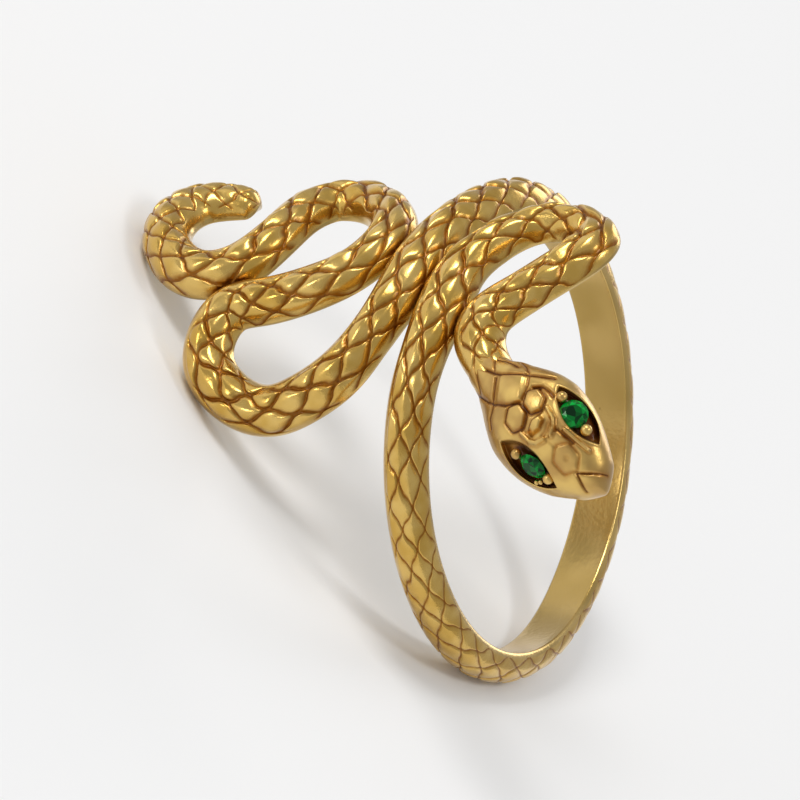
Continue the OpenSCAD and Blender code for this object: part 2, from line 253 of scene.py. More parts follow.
# %% Turn the worn frame to the lying one
bore = next(m for m in frame["record"]["mounts"] if m["name"] == "finger")
to_tail = -Vector(bore["axis"]).normalized()
seen = tables["left_eye"][0]
along, side = EYE_ALONG * head_l, EYE_SIDE * head_w
known = head_point(along, side, head_top(along, side))
from_bore = (seen - Vector(bore["pos_m"])).dot(to_tail)
middle = Vector(bore["pos_m"]) + to_tail * (from_bore - known[2] * MM)
outward = (seen - middle - to_tail * known[2] * MM).normalized()
angle = math.atan2(known[1], known[0])
first = outward * math.cos(angle) - to_tail.cross(outward) * math.sin(angle)
second = to_tail.cross(first)
turn_back = Matrix((first, second, to_tail)).transposed()
worn_to_row = Matrix.Translation(middle) @ turn_back.to_4x4() @ Matrix.Scale(MM, 4)

second_table = head_point(along, -side, head_top(along, -side))
miss = (worn_to_row @ Vector(second_table) - tables["right_eye"][0]).length / MM
print("the second stone's table is off by", round(miss, 4), "mm")

# %% [markdown]
# The spine is a smooth line through the route's rows, and the scales are counted along it. On the
# real ring the carver made them longer on the plain front of the hoop and shorter near the tail.
# So a table says how many scales lie before a few places of the body, and a smooth curve through
# it gives the count between them. Each scale then has the same number of rings, whatever its real
# length is, and a groove is as fine on a short scale as on a long one.

# %% Smooth line through the route
def placed(row):
    """A row of ROUTE as plan distances in millimetres."""
    side = head_side if row[REACH] > 0 else tail_side
    return [
        math.radians(row[TURN]) * plan_r,
        row[REACH] * side + row[BESIDE] * band_w,
        row[WIDE] * band_w,
        row[HIGH] * band_h,
        row[UNDER] * band_h,
    ]


STEPS = 16


def smooth_rows(rows):
    """Points on a Catmull-Rom curve through the rows."""
    rows = np.array(rows)
    last = len(rows) - 1
    t = (np.arange(STEPS) / STEPS)[:, None]
    out = []
    for i in range(last):
        a, b, c, d = rows[max(i - 1, 0)], rows[i], rows[i + 1], rows[min(i + 2, last)]
        square = (2 * a - 5 * b + 4 * c - d) * t**2
        cube = (3 * b - a - 3 * c + d) * t**3
        out.append((2 * b + (c - a) * t + square + cube) / 2)
    return np.vstack(out + [rows[-1:]])


def run_along(points):
    """Distance along the line at each of its points."""
    return np.concatenate([[0], np.cumsum(np.hypot(*np.diff(points[:, :2], axis=0).T))])


line = smooth_rows([placed(row) for row in ROUTE])
run = run_along(line)
body_l = run[-1]
print("the body is", round(body_l, 2), "mm long")

# %% Scales along the body
# FROM_NECK: millimetres along the spine. COUNT: how many scales lie before that place.
# RELIEF: how proud a scale's face stands, from 0 for engraved lines alone to 1 for a leaf shape.
# BEGIN, END: where the scales begin and end across the dome, from its right edge to its left one.
FROM_NECK, COUNT, RELIEF, BEGIN, END = range(5)
SCALES = np.array([
    [0, 0.1, 0.4, 0.05, 0.63],
    [1.4, 1.05, 0.6, 0.05, 0.63],
    [2.5, 1.8, 0.8, 0.05, 0.63],
    [4.5, 3.15, 0.8, 0.05, 0.62],
    [6.5, 4.3, 0.9, 0.05, 0.6],
    [8.5, 5.35, 0.9, 0.1, 0.8],
    [10.5, 6.4, 0.9, 0.25, 0.97],
    [12.5, 7.6, 0.9, 0.35, 0.97],
    [16.5, 9.65, 0.9, 0.35, 0.97],
    [21, 12, 0.7, 0.36, 0.97],
    [26.5, 15, 0.3, 0.32, 0.97],
    [31.8, 18, 0.25, 0.28, 1],
    [36, 20.37, 0.25, 0.12, 1],
    [42, 23.84, 0.35, 0.06, 1],
    [58, 33.2, 0.5, 0.1, 0.95],
    [66.5, 38, 0.8, 0.35, 0.97],
    [70.5, 40.25, 0.9, 0.38, 0.97],
    [74.5, 42.25, 0.9, 0.37, 0.97],
    [80.5, 45.5, 0.9, 0.3, 0.9],
    [84.5, 47.55, 0.9, 0.1, 0.7],
    [86.5, 48.65, 0.9, 0.06, 0.63],
    [90.5, 51.3, 0.9, 0.05, 0.6],
    [94.5, 53.35, 0.9, 0.05, 0.62],
    [97.5, 54.9, 0.9, 0.25, 0.8],
    [100.5, 56.45, 0.9, 0.4, 0.95],
    [106.5, 59.7, 0.9, 0.42, 0.95],
    [110.5, 62.05, 0.7, 0.25, 0.95],
    [113.5, 64.3, 0.5, 0.2, 0.97],
    [117, 67.0, 0.4, 0.1, 0.97],
])
HALF = 16
SCALES_ACROSS = 3
LATTICE_MIDDLE = 0.52


def count_scales():
    """Distances along the spine at which each ring lies, so that every scale has 2 * HALF rings."""
    fine = np.linspace(0, body_l, 20001)
    count = smooth_lookup(fine, SCALES[:, FROM_NECK], SCALES[:, COUNT])
    rings = int((count[-1] - count[0]) * 2 * HALF)
    number = count[0] + np.arange(rings + 1) / (2 * HALF)
    return np.interp(number, count, fine), number


ring_at, ring_scale = count_scales()
print(round(ring_scale[-1]), "scales from neck to tail,", len(ring_at), "rings")

# %% Spine with a round cap at each end
SPINE_COLUMNS = ["turn", "reach", "wide", "high", "under", "ahead_turn", "ahead_reach"]
SPINE_COLUMNS += ["scale", "relief", "begin", "end", "bend", "closing"]
PLACE, AHEAD, SCALE_NUMBER, CLOSING = slice(0, 2), slice(5, 7), 7, 12
CAP_RINGS = 14
TAIL_CAP = 0.45
NECK_CAP = 0.3
# The line is averaged over SOFTEN mm, and its direction is taken between places NEAR mm off
SOFTEN = 0.45
NEAR = 0.75


def along_line(distance, column):
    """A column of the line at distances along it, averaged over a short stretch of it.

    Without that, the section would turn in jerks at the table's rows and crease the tight bends."""
    steps = np.linspace(-2, 2, 17)
    shares = np.exp(-(steps**2) / 2)
    values = [np.interp(distance + SOFTEN * q, run, line[:, column]) for q in steps]
    ends = np.minimum(distance, body_l - distance)
    keep = np.clip(ends / (2 * SOFTEN), 0, 1)
    soft = np.tensordot(shares / shares.sum(), values, 1)
    return keep * soft + (1 - keep) * np.interp(distance, run, line[:, column])


def cap(end_row, length, way):
    """Rings that round off an end, each one on by a little and more closed than the last."""
    quarter = np.linspace(0, math.pi / 2, CAP_RINGS + 1)[1:]
    rows = np.repeat(end_row[None], CAP_RINGS, 0)
    rows[:, PLACE] += way * rows[:, AHEAD] * (np.sin(quarter) * length)[:, None]
    rows[:, SCALE_NUMBER] += way * np.arange(1, CAP_RINGS + 1) / (2 * HALF)
    rows[:, CLOSING] = 1 - np.cos(quarter)
    return rows


def spine_table():
    """One row for each ring, with the numbers that SPINE_COLUMNS names."""
    place = np.stack([along_line(ring_at, k) for k in range(5)], 1)
    near = np.clip(ring_at, NEAR, body_l - NEAR)
    ahead = np.stack([along_line(near + NEAR, k) - along_line(near - NEAR, k) for k in (0, 1)], 1)
    ahead /= np.linalg.norm(ahead, axis=1, keepdims=True)
    carved = [np.interp(ring_at, SCALES[:, FROM_NECK], SCALES[:, k]) for k in (RELIEF, BEGIN, END)]
    step = np.gradient(ahead, ring_at, axis=0)
    bend = step[:, 1] * ahead[:, 0] - step[:, 0] * ahead[:, 1]
    rows = np.column_stack([place, ahead, ring_scale, *carved, bend, np.zeros(len(place))])
    return np.vstack([cap(rows[0], NECK_CAP, -1)[::-1], rows, cap(rows[-1], TAIL_CAP, 1)])


spine = spine_table()
print("spine rings with caps:", len(spine))

# %% [markdown]
# Node trees, for geometry and for materials, are easier to read as sums than as lists of links.
# The class below wraps a socket, and each operator on it adds one Math node. Every other node
# comes from one function that takes its type, its settings and the values of its sockets.
# Settings come first, because some of them change which sockets a node has.

# %% Sums on sockets
def raw(item):
    """The socket itself, where item is a wrapped one."""
    return item.socket if isinstance(item, Term) else item


def add_node(tree, kind, settings=None, sockets=None):
    """A new node: its type, then its settings, then a value or a link for each socket."""
    node = tree.nodes.new(kind)
    for name, value in (settings or {}).items():
        setattr(node, name, value)
    for name, item in (sockets or {}).items():
        item = raw(item)
        if isinstance(item, bpy.types.NodeSocket):
            tree.links.new(item, node.inputs[name])
        else:
            node.inputs[name].default_value = item
    return node


def operator(operation, reflected=False):
    """A method that adds one Math node; reflected, its own socket is the second one."""

    def act(self, other):
        return self.math(operation, first=other) if reflected else self.math(operation, other)

    return act


class Term:
    """A socket that takes part in sums."""

    def __init__(self, tree, socket):
        self.tree = tree
        self.socket = socket

    def math(self, operation, *others, first=None, clamp=False):
        """A Math node on this socket, with other values after it or one before it."""
        terms = (self, *others) if first is None else (first, self)
        settings = {"operation": operation, "use_clamp": clamp}
        node = add_node(self.tree, "ShaderNodeMath", settings, dict(enumerate(terms)))
        return Term(self.tree, node.outputs[0])

    __add__ = __radd__ = operator("ADD")
    __sub__, __rsub__ = operator("SUBTRACT"), operator("SUBTRACT", reflected=True)
    __mul__ = __rmul__ = operator("MULTIPLY")
    __truediv__, __rtruediv__ = operator("DIVIDE"), operator("DIVIDE", reflected=True)
    __pow__ = operator("POWER")

    def clamped(self):
        """Held between 0 and 1."""
        return self.math("ADD", 0.0, clamp=True)

    def ramp(self, low, high):
        """0 below low, 1 above high and a smooth step between."""
        sockets = {"Value": self, "From Min": low, "From Max": high}
        settings = {"interpolation_type": "SMOOTHSTEP"}
        node = add_node(self.tree, "ShaderNodeMapRange", settings, sockets)
        return Term(self.tree, node.outputs[0])


def vector(tree, x, y, z=0.0):
    """Socket of a vector made of three numbers."""
    return add_node(tree, "ShaderNodeCombineXYZ", None, {0: x, 1: y, 2: z}).outputs[0]


def parts(tree, item):
    """The three numbers of a vector or a colour."""
    split = add_node(tree, "ShaderNodeSeparateXYZ", None, {0: item})
    return [Term(tree, split.outputs[k]) for k in range(3)]


print("what a socket can do:", *(name.strip("_") for name, item in vars(Term).items() if callable(item)))

# %% Outline of one scale
# The higher, the sharper the corners: for a proud leaf and for a flat plate
ROUND_LEAF = 3.5
SHARP_PLATE = 12.0


def inside_scale(first, second, relief):
    """1 in the middle of a scale, 0 on its grooves and below 0 where two grooves cross.

    A proud leaf has round corners, so it looks like an almond; a flat plate has sharp ones."""
    a = (first.math("FRACT") * 2 - 1).math("ABSOLUTE")
    b = (second.math("FRACT") * 2 - 1).math("ABSOLUTE")
    power = SHARP_PLATE - relief * (SHARP_PLATE - ROUND_LEAF)
    return 1 - (a**power + b**power) ** (1 / power)


print("powers of the outline: leaf", ROUND_LEAF, "and plate", SHARP_PLATE)

# %% [markdown]
# The body is one loft: a D section with a domed back runs along the spine, and the scales are
# carved into the dome. Carving thousands of scales by hand would take days. They follow a rule,
# though: two sets of grooves cross the back slantwise, and each diamond between them is a scale.
# So Geometry Nodes makes the body. A grid has one row of corners for each ring. Each corner looks
# up its ring on the spine, finds its place in the section and moves there. The sum and the
# difference of its counts along and across give the distance to the nearest grooves, and from
# that the height of the leaf.

# %% Inputs of the body's node tree
# Steps over the dome and under it, then the sizes in millimetres and shares of a scale
SECTION = 96
UNDERSIDE = 16
COLUMNS = SECTION + UNDERSIDE + 1
BODY_SIZES = {
    "Finger radius": finger_r,
    "Plan radius": plan_r,
    "Groove depth": 0.07,
    "Groove width": 0.055,
    "Shoulder": 0.2,
    "Leaf height": 0.07,
    "Leaf bulge": 0.1,
    "Leaf lean": 0.13,
    "Bend": 0.035,
    "Wobble": 0.4,
    "Seed": 3.0,
}


def body_tree():
    """Empty node group with the body's inputs, and those inputs as terms."""
    tree = bpy.data.node_groups.new("scaled_body", "GeometryNodeTree")
    face = tree.interface
    face.new_socket("Spine", in_out="INPUT", socket_type="NodeSocketGeometry")
    for name, value in BODY_SIZES.items():
        socket = face.new_socket(name, in_out="INPUT", socket_type="NodeSocketFloat")
        socket.default_value = value
    face.new_socket("Gold", in_out="INPUT", socket_type="NodeSocketMaterial")
    face.new_socket("Body", in_out="OUTPUT", socket_type="NodeSocketGeometry")
    entry = tree.nodes.new("NodeGroupInput")
    terms = {name: Term(tree, entry.outputs[name]) for name in BODY_SIZES}
    return tree, entry, terms


tree, entry, size = body_tree()
print(len(size), "sizes go into the tree, and a ring has", COLUMNS, "corners")

# %% Read the spine from each corner of the grid
def read_spine(tree, entry):
    """The grid, each corner's column in its ring, and the spine's numbers at that ring."""
    size = add_node(tree, "GeometryNodeAttributeDomainSize", None, {"Geometry": entry.outputs["Spine"]})
    rings = size.outputs["Point Count"]
    sockets = {"Vertices X": rings, "Vertices Y": COLUMNS}
    grid = add_node(tree, "GeometryNodeMeshGrid", None, sockets)
    number = Term(tree, add_node(tree, "GeometryNodeInputIndex").outputs[0])
    ring = ((number + 0.5) / COLUMNS).math("FLOOR")
    column = number - ring * COLUMNS

    def read(name):
        named = add_node(tree, "GeometryNodeInputNamedAttribute", {"data_type": "FLOAT"}, {"Name": name})
        sockets = {"Geometry": entry.outputs["Spine"], "Value": named.outputs["Attribute"], "Index": ring}
        sample = add_node(tree, "GeometryNodeSampleIndex", {"data_type": "FLOAT"}, sockets)
        return Term(tree, sample.outputs["Value"])

    return grid, column, {name: read(name) for name in SPINE_COLUMNS}


grid, column, on = read_spine(tree, entry)
print("numbers read from the spine at each corner:", len(on))

# %% Section of the body: dome, quarter-round lower corners and flat underside
# Share of the underside's steps that each lower corner takes
WALL = 0.3


def section_place(column, on):
    """Sideways place and height of a corner in its section, and its share across the dome."""
    back = (column / SECTION).clamped()
    bottom = ((column - SECTION) / UNDERSIDE).clamped()
    turn = back * math.pi
    down = (bottom / WALL).clamped() * (math.pi / 2)
    up = ((bottom - (1 - WALL)) / WALL).clamped() * (math.pi / 2)
    across = ((bottom - WALL) / (1 - 2 * WALL)).clamped()
    half = on["wide"] / 2
    edge = on["high"] * EDGE
    under = on["under"].math("MAXIMUM", 0.0)
    right = (1 - down.math("COSINE")) * (1 - INSIDE)
    left = up.math("SINE") * (1 - INSIDE)
    beside = (0 - turn.math("COSINE")) - right - across * (2 * INSIDE) - left
    rise = turn.math("SINE") * (1 - EDGE) * on["high"]
    drop = (down.math("SINE") - (1 - up.math("COSINE"))) * (edge - under)
    return beside * half, edge + rise - drop, back, bottom


beside, height, back, bottom = section_place(column, on)
print("nodes with the section:", len(tree.nodes))

# %% Lattice of the scales, a little uneven as a hand-carved one is
# Lumps of the unevenness, in lumps a scale; and the rims over which the carving begins and ends
WOBBLE_LUMPS = 0.8
RIM = 0.05
UNDER_RIM = 0.01


def lattice(tree, on, back, bottom, size):
    """A corner's count along and across the scales, and 1 where there are scales, 0 on the rims."""
    row = (back - LATTICE_MIDDLE) * SCALES_ACROSS
    sockets = {"Vector": vector(tree, on["scale"], row, size["Seed"]), "Scale": WOBBLE_LUMPS, "Detail": 1.0}
    cloud = add_node(tree, "ShaderNodeTexNoise", {"noise_dimensions": "3D"}, sockets)
    shift = [(part - 0.5) * size["Wobble"] for part in parts(tree, cloud.outputs["Color"])[:2]]
    bend = (row * (4 * math.pi)).math("SINE") * size["Bend"]
    begin, end = on["begin"], on["end"]
    carved = back.ramp(begin - RIM, begin) * (1 - back.ramp(end, end + RIM))
    carved = carved * (1 - bottom.ramp(0.0, UNDER_RIM))
    return on["scale"] + shift[0], row + bend + shift[1], carved


count, row, carved = lattice(tree, on, back, bottom, size)
print("nodes with the lattice:", len(tree.nodes))

# %% Leaf-shaped relief of the scales
# Millimetres from one groove to the next
GROOVE_STEP = 0.95
# The inner side of a tight bend is squeezed, and the carving and its height fade there
CARVING_FADES = (0.12, 0.4)
RELIEF_FADES = (0.1, 0.9)
# A scale bulges where its middle lies between the rims, out to FADE_OUT and fully from FADE_IN
FADE_OUT, FADE_IN = 0.06, 0.02


def scale_relief(tree, on, count, row, carved, size):
    """Height of the carving over the smooth dome.

    A face bulges and leans its own way where its whole scale is carved, its shoulders fall to the
    grooves, and the grooves are cut a little deeper."""
    first = count + row
    second = count - row
    a = first.math("FRACT") * 2 - 1
    b = second.math("FRACT") * 2 - 1
    near = inside_scale(first, second, on["relief"]).math("MAXIMUM", 0.0) * (GROOVE_STEP / 2)
    below = 1 - (near / size["Shoulder"]).clamped()
    near = near / size["Groove width"]
    groove = (0 - near * near).math("EXPONENT")
    cell = [first.math("FLOOR"), second.math("FLOOR")]
    sockets = {"Vector": vector(tree, *cell), "W": size["Seed"]}
    own = add_node(tree, "ShaderNodeTexWhiteNoise", {"noise_dimensions": "4D"}, sockets)
    random = parts(tree, own.outputs["Color"])
    lean = (random[0] - 0.5) * a + (random[1] - 0.5) * b
    middle = (cell[0] - cell[1]) / (2 * SCALES_ACROSS) + LATTICE_MIDDLE
    whole = middle.ramp(on["begin"] - FADE_OUT, on["begin"] + FADE_IN)
    whole = whole * (1 - middle.ramp(on["end"] - FADE_IN, on["end"] + FADE_OUT))
    leaf = (1 - a * a) * (1 - b * b) * size["Leaf bulge"] + lean * (1 - below * below) * size["Leaf lean"]
    drop = below * below * size["Leaf height"] * on["relief"]
    cut = groove * size["Groove depth"] * (on["relief"] * 0.5 + 0.5)
    return leaf * whole * on["relief"] * carved - (drop + cut) * carved


stretch = 1 + on["bend"] * beside
carved = carved * stretch.ramp(*CARVING_FADES)
relief = scale_relief(tree, on, count, row, carved, size) * stretch.ramp(*RELIEF_FADES)
print("nodes with the relief:", len(tree.nodes))

# %% Put the body's tree together
# Corners closer than this, in millimetres, are one
SEAM = 0.0005
# The caps close towards this share of the section's height
CLOSE_AT = 0.4


def move_corners(tree, grid, on, size, beside, height):
    """The grid with each corner wrapped round the finger, and the caps closed."""
    open_share = 1 - on["closing"]
    beside = beside * open_share
    middle = on["high"] * CLOSE_AT + on["under"].math("MAXIMUM", 0.0) * 0.5
    height = middle + (height - middle) * open_share
    turn = on["turn"] + on["ahead_reach"] * beside
    reach = on["reach"] - on["ahead_turn"] * beside
    angle = turn / size["Plan radius"]
    radius = size["Finger radius"] + height
    spot = vector(tree, radius * angle.math("COSINE"), radius * angle.math("SINE"), 0 - reach)
    sockets = {"Geometry": grid.outputs["Mesh"], "Position": spot}
    return add_node(tree, "GeometryNodeSetPosition", None, sockets).outputs[0]


def leave_tree(tree, entry, mesh, kept):
    """Keeps numbers for the gold's material on each corner, closes the seam and sets the material."""
    for name, (kind, value) in kept.items():
        sockets = {"Geometry": mesh, "Name": name, "Value": value}
        mesh = add_node(tree, "GeometryNodeStoreNamedAttribute", {"data_type": kind}, sockets).outputs[0]
    steps = {"MergeByDistance": {"Distance": SEAM}, "SetShadeSmooth": {}, "RealizeInstances": {}}
    steps["SetMaterial"] = {"Material": entry.outputs["Gold"]}
    for kind, sockets in steps.items():
        mesh = add_node(tree, "GeometryNode" + kind, None, {"Geometry": mesh, **sockets}).outputs[0]
    leave = tree.nodes.new("NodeGroupOutput")
    tree.links.new(mesh, leave.inputs["Body"])


moved = move_corners(tree, grid, on, size, beside, height + relief)
kept = {
    "scale_place": ("FLOAT_VECTOR", vector(tree, count, row, carved)),
    "inside": ("FLOAT", bottom),
    "relief": ("FLOAT", on["relief"]),
    "ring": ("FLOAT", on["scale"]),
}
leave_tree(tree, entry, moved, kept)
print("nodes in the finished tree:", len(tree.nodes))

# %% [markdown]
# Cast gold is never one flat colour. Polishing brightens the faces, and the polishing compound and
# the oxide stay behind in the grooves as an orange brown, almost black where two grooves cross.
# The inside of the hoop was turned and polished smooth, and has a few pits from the casting. Its
# broad lighter and darker patches are painted reflections.
# The lattice of the grooves is known exactly on each corner, so the material draws the brown
# lines from it. That gives lines finer than the mesh, and they stay on the carved grooves.

# %% Colours of the gold
# The body's faces and their pale patches, its grooves, whose brown the painted shade takes too; the
# same for the head; the almost black crossings, also the darkest painted shade; and the hoop's smooth
# inside with its darker patches, which are painted reflections
FACE = (0.60, 0.362, 0.064)
FACE_PALE = (0.75, 0.51, 0.15)
GROOVE_AND_SHADE = (0.29, 0.105, 0.004)
FACE_HEAD = (0.52, 0.318, 0.094)
GROOVE_AND_SHADE_HEAD = (0.35, 0.125, 0.008)
DEEP = (0.055, 0.011, 0.001)
INNER = (0.69, 0.475, 0.165)
INNER_REFLECTION_DARK = (0.46, 0.305, 0.08)


def mix_colour(tree, share, low, high):
    """Colour between two, by a share. The Mix node's sockets 0, 6, 7 and 2 are those for colours."""
    low, high = (item if isinstance(item, bpy.types.NodeSocket) else (*item, 1) for item in (low, high))
    return add_node(tree, "ShaderNodeMix", {"data_type": "RGBA"}, {0: share, 6: low, 7: high}).outputs[2]


def attribute(tree, name):
    """A number kept on the mesh, as a term."""
    node = add_node(tree, "ShaderNodeAttribute", {"attribute_name": name})
    return Term(tree, node.outputs["Fac"])


def texture(tree, kind, sockets):
    """A texture node on the piece's own coordinates, its scale in lumps a metre."""
    where = add_node(tree, "ShaderNodeTexCoord").outputs["Object"]
    return add_node(tree, "ShaderNodeTex" + kind, None, {"Vector": where, **sockets})


def noise(tree, scale, detail=2.0):
    """Soft lumps between 0 and 1."""
    return Term(tree, texture(tree, "Noise", {"Scale": scale, "Detail": detail}).outputs[0])


def new_material(name, **values):
    """A material, its node tree and its shader with some of the sockets set."""
    material = bpy.data.materials.new(name)
    material.use_nodes = True
    shader = material.node_tree.nodes["Principled BSDF"]
    for key, value in values.items():
        shader.inputs[key.replace("_", " ")].default_value = value
    return material, material.node_tree, shader


print("gold, from dark to pale:", DEEP, GROOVE_AND_SHADE, FACE, FACE_PALE)

# %% Material of the cast gold
# Lumps a metre: soft patches of the polish, its unevenness, the finest grain, the inside's painted
# reflections and its pits
SOFT, UNEVEN, GRAIN, REFLECTION_LUMPS, PITS = 900.0, 5200.0, 7000.0, 350.0, 700.0
BUMP_D = 0.00004


def scale_lines(tree, relief):
    """How far a spot is inside its scale, a number of its own for the scale, and where scales are."""
    node = add_node(tree, "ShaderNodeAttribute", {"attribute_name": "scale_place"})
    count, row, carved = parts(tree, node.outputs["Vector"])
    first, second = count + row, count - row
    cell = vector(tree, first.math("FLOOR"), second.math("FLOOR"), 7.0)
    own = add_node(tree, "ShaderNodeTexWhiteNoise", {"noise_dimensions": "3D"}, {"Vector": cell})
    return inside_scale(first, second, relief), Term(tree, own.outputs["Value"]), carved


def inner_gold(tree, broad):
    """Colour of the turned inside: broad lighter and darker patches, painted reflections, and a few pits.
    """
    cells = texture(tree, "Voronoi", {"Scale": PITS})
    pit = 1 - Term(tree, cells.outputs["Distance"]).ramp(0.03, 0.07)
    painted_reflections = noise(tree, REFLECTION_LUMPS, 1.0).ramp(0.35, 0.65)
    colour = mix_colour(tree, painted_reflections * 0.6 + broad * 0.3, INNER_REFLECTION_DARK, INNER)
    return mix_colour(tree, pit * 0.8, colour, DEEP)


# Face, groove and painted shade, strength of the almost black spots (crossings, deepest patina,
# darkest painted shade), and roughness of the clean face
LOOKS = {
    "scaled_gold": (FACE, GROOVE_AND_SHADE, 0.75, 0.2),
    "head_gold": (FACE_HEAD, GROOVE_AND_SHADE_HEAD, 0.9, 0.3),
}


def gold_material(name):
    """Polished cast gold; the scaled one also draws the lattice of scales."""
    face, groove, crossing, rough = LOOKS[name]
    material, tree, shader = new_material(name, Metallic=1.0, Coat_Weight=0.3, Coat_Roughness=0.12)
    # The kept patina holds painted shade as well: where strands meet on the body, round the stones on the
    # head
    patina_and_shade = attribute(tree, "patina_and_shade")
    broad = noise(tree, SOFT)
    fine = noise(tree, GRAIN, 3.0)
    face = mix_colour(tree, broad.ramp(0.35, 0.7), face, FACE_PALE)
    if name == "scaled_gold":
        relief = attribute(tree, "relief")
        deep, own, carved = scale_lines(tree, relief)
        inside = attribute(tree, "inside").ramp(0.0, 0.05)
        line = (1 - (deep / (relief * 0.11 + fine * 0.12 + 0.06)).clamped()) * carved
        halo = (1 - (deep / 0.4).clamped()) * carved * (relief * 0.35 + 0.1)
        face = mix_colour(tree, own * 0.3, face, FACE_PALE)
        face = mix_colour(tree, inside, face, inner_gold(tree, broad))
        # Almost black where grooves cross, and where the painted shade between strands is darkest
        knot = (patina_and_shade.ramp(0.75, 1.1) + (1 - deep.ramp(-0.18, 0.06)) * carved) * fine.ramp(0.35, 0.6)
        patina_and_shade = (patina_and_shade * (0.4 + fine * 0.8) + line * (0.5 + fine * 0.8) + halo).clamped()
    else:
        # On the head the almost black spots are the deepest lines' patina and the painted shadow round the
        # stones
        knot = patina_and_shade.ramp(0.85, 1.15)
        patina_and_shade = (patina_and_shade * (0.45 + fine * 0.7)).clamped()
    colour = mix_colour(tree, patina_and_shade, face, groove)
    colour = mix_colour(tree, knot.clamped() * crossing, colour, DEEP)
    tree.links.new(colour, shader.inputs["Base Color"])
    rough = (rough + broad * 0.08 + patina_and_shade * 0.2).clamped()
    tree.links.new(rough.socket, shader.inputs["Roughness"])
    lumps = noise(tree, UNEVEN) * 0.6 + fine * 0.4
    bump = add_node(tree, "ShaderNodeBump", None, {"Strength": 0.3, "Distance": BUMP_D, "Height": lumps})
    tree.links.new(bump.outputs[0], shader.inputs["Normal"])
    return material


scaled_gold, head_gold = (gold_material(name) for name in LOOKS)
print("gold materials:", scaled_gold.name, "and", head_gold.name)

# %% [markdown]
# A mesh of half a million triangles is heavy, so the body is made in three lengths that meet end
# to end at rings where nothing catches the eye. Each length is its own short spine with the same
# node tree. The result is taken as a plain mesh, and only then turned to where the CAD part lies.

# %% Make a length of the body
def in_scene(name, data):
    """A new object in the scene, with its data."""
    piece = bpy.data.objects.new(name, data)
    bpy.context.scene.collection.objects.link(piece)
    return piece


def plain_mesh(piece):
    """Replaces a piece's mesh by what its modifiers make, and removes them."""
    graph = bpy.context.evaluated_depsgraph_get()
    mesh = bpy.data.meshes.new_from_object(piece.evaluated_get(graph))
    piece.modifiers.clear()
    piece.data = mesh
    mesh.name = piece.name
    return piece


def keep_number(mesh, name, values, domain="POINT"):
    """Keeps a number on each corner or face of a mesh."""
    layer = mesh.attributes.new(name, "FLOAT", domain)
    layer.data.foreach_set("value", np.asarray(values, np.float32))


def spine_object(name, rows):
    """Spine of one length as a line of points that carry the table's columns."""
    mesh = bpy.data.meshes.new(name)
    points = np.column_stack([rows[:, :2], np.zeros(len(rows))])
    links = [(i, i + 1) for i in range(len(rows) - 1)]
    mesh.from_pydata(points.tolist(), links, [])
    for k, column in enumerate(SPINE_COLUMNS):
        keep_number(mesh, column, rows[:, k])
    return in_scene(name, mesh)


def body_length(name, rows, tree):
    """One length of the body: its spine with the tree on it, taken as a plain mesh."""
    piece = spine_object(name, rows)
    modifier = piece.modifiers.new("scales", "NODES")
    modifier.node_group = tree
    for item in tree.interface.items_tree:
        if item.in_out == "INPUT" and item.name in BODY_SIZES:
            modifier[item.identifier] = BODY_SIZES[item.name]
        if item.in_out == "INPUT" and item.name == "Gold":
            modifier[item.identifier] = scaled_gold
    return plain_mesh(piece)


# %% Make the three lengths
CUTS = [39.5, 78.0]
cut_rings = [CAP_RINGS + int(np.searchsorted(ring_at, cut)) for cut in CUTS]
ends = [0, *cut_rings, len(spine) - 1]
names = ["body_neck_to_hoop", "body_hoop_to_loop", "body_loop_to_tail"]
lengths = [body_length(name, spine[a : b + 1], tree) for name, a, b in zip(names, ends, ends[1:])]
for piece in lengths:
    print(piece.name, len(piece.data.polygons) * 2, "triangles")

# %% [markdown]
# Where two strands touch, the crease between them is painted darker, in the brown of the patina:
# painted shade. The plan says how close each corner of the mesh is to a strand other than its own:
# the nearest spine points that are more than a few millimetres away along the body. That closeness
# is kept with the patina, as painted shade.

# %% Painted shade where strands meet
# Another strand is at least this many scales away; then the distances in mm up to which the
# painted shade is full, and from which it is gone
OTHER_STRAND = 3
TOUCHING, UNSHADED_FROM = 0.02, 0.18


def plan_of(points):
    """Plan distances of points in the worn frame."""
    turn = np.arctan2(points[:, 1], points[:, 0])
    return turn * plan_r, -points[:, 2]


def strand_contact_shade(piece):
    """Keeps on each corner how close another strand is as painted shade, 1 where they touch."""
    mesh = piece.data
    points = np.empty(len(mesh.vertices) * 3, np.float32)
    mesh.vertices.foreach_get("co", points)
    turn, reach = plan_of(points.reshape(-1, 3))
    whole = 2 * math.pi * plan_r
    gap = np.full(len(turn), 9.0)
    own = np.empty(len(turn), np.float32)
    mesh.attributes["ring"].data.foreach_get("value", own)
    for row in spine[::8]:
        at = dict(zip(SPINE_COLUMNS, row))
        far = np.abs(own - at["scale"]) > OTHER_STRAND
        d_turn = (turn - at["turn"] + whole / 2) % whole - whole / 2
        d = np.hypot(d_turn, reach - at["reach"]) - at["wide"] / 2
        gap = np.where(far, np.minimum(gap, d), gap)
    dark = np.clip(1 - (gap - TOUCHING) / (UNSHADED_FROM - TOUCHING), 0, 1)
    keep_number(mesh, "patina_and_shade", dark)
    return float((dark > 0.5).mean())


for piece in lengths:
    print(piece.name, "share near another strand:", round(strand_contact_shade(piece), 3))

# %% [markdown]
# The head is a spade with a low dome, cut from the same metal. On it the carver raised a few
# plates and cut lines between them: a pointed plate behind the crown, two small bosses, a ring
# with a bead in it, a bar beside the left eye and two lines that meet at the snout. They don't
# repeat, so they are drawn one by one on the head's own plan, in millimetres along and across.
# The mesh is a fine grid over the plan, and each mark adds to or takes from its height.

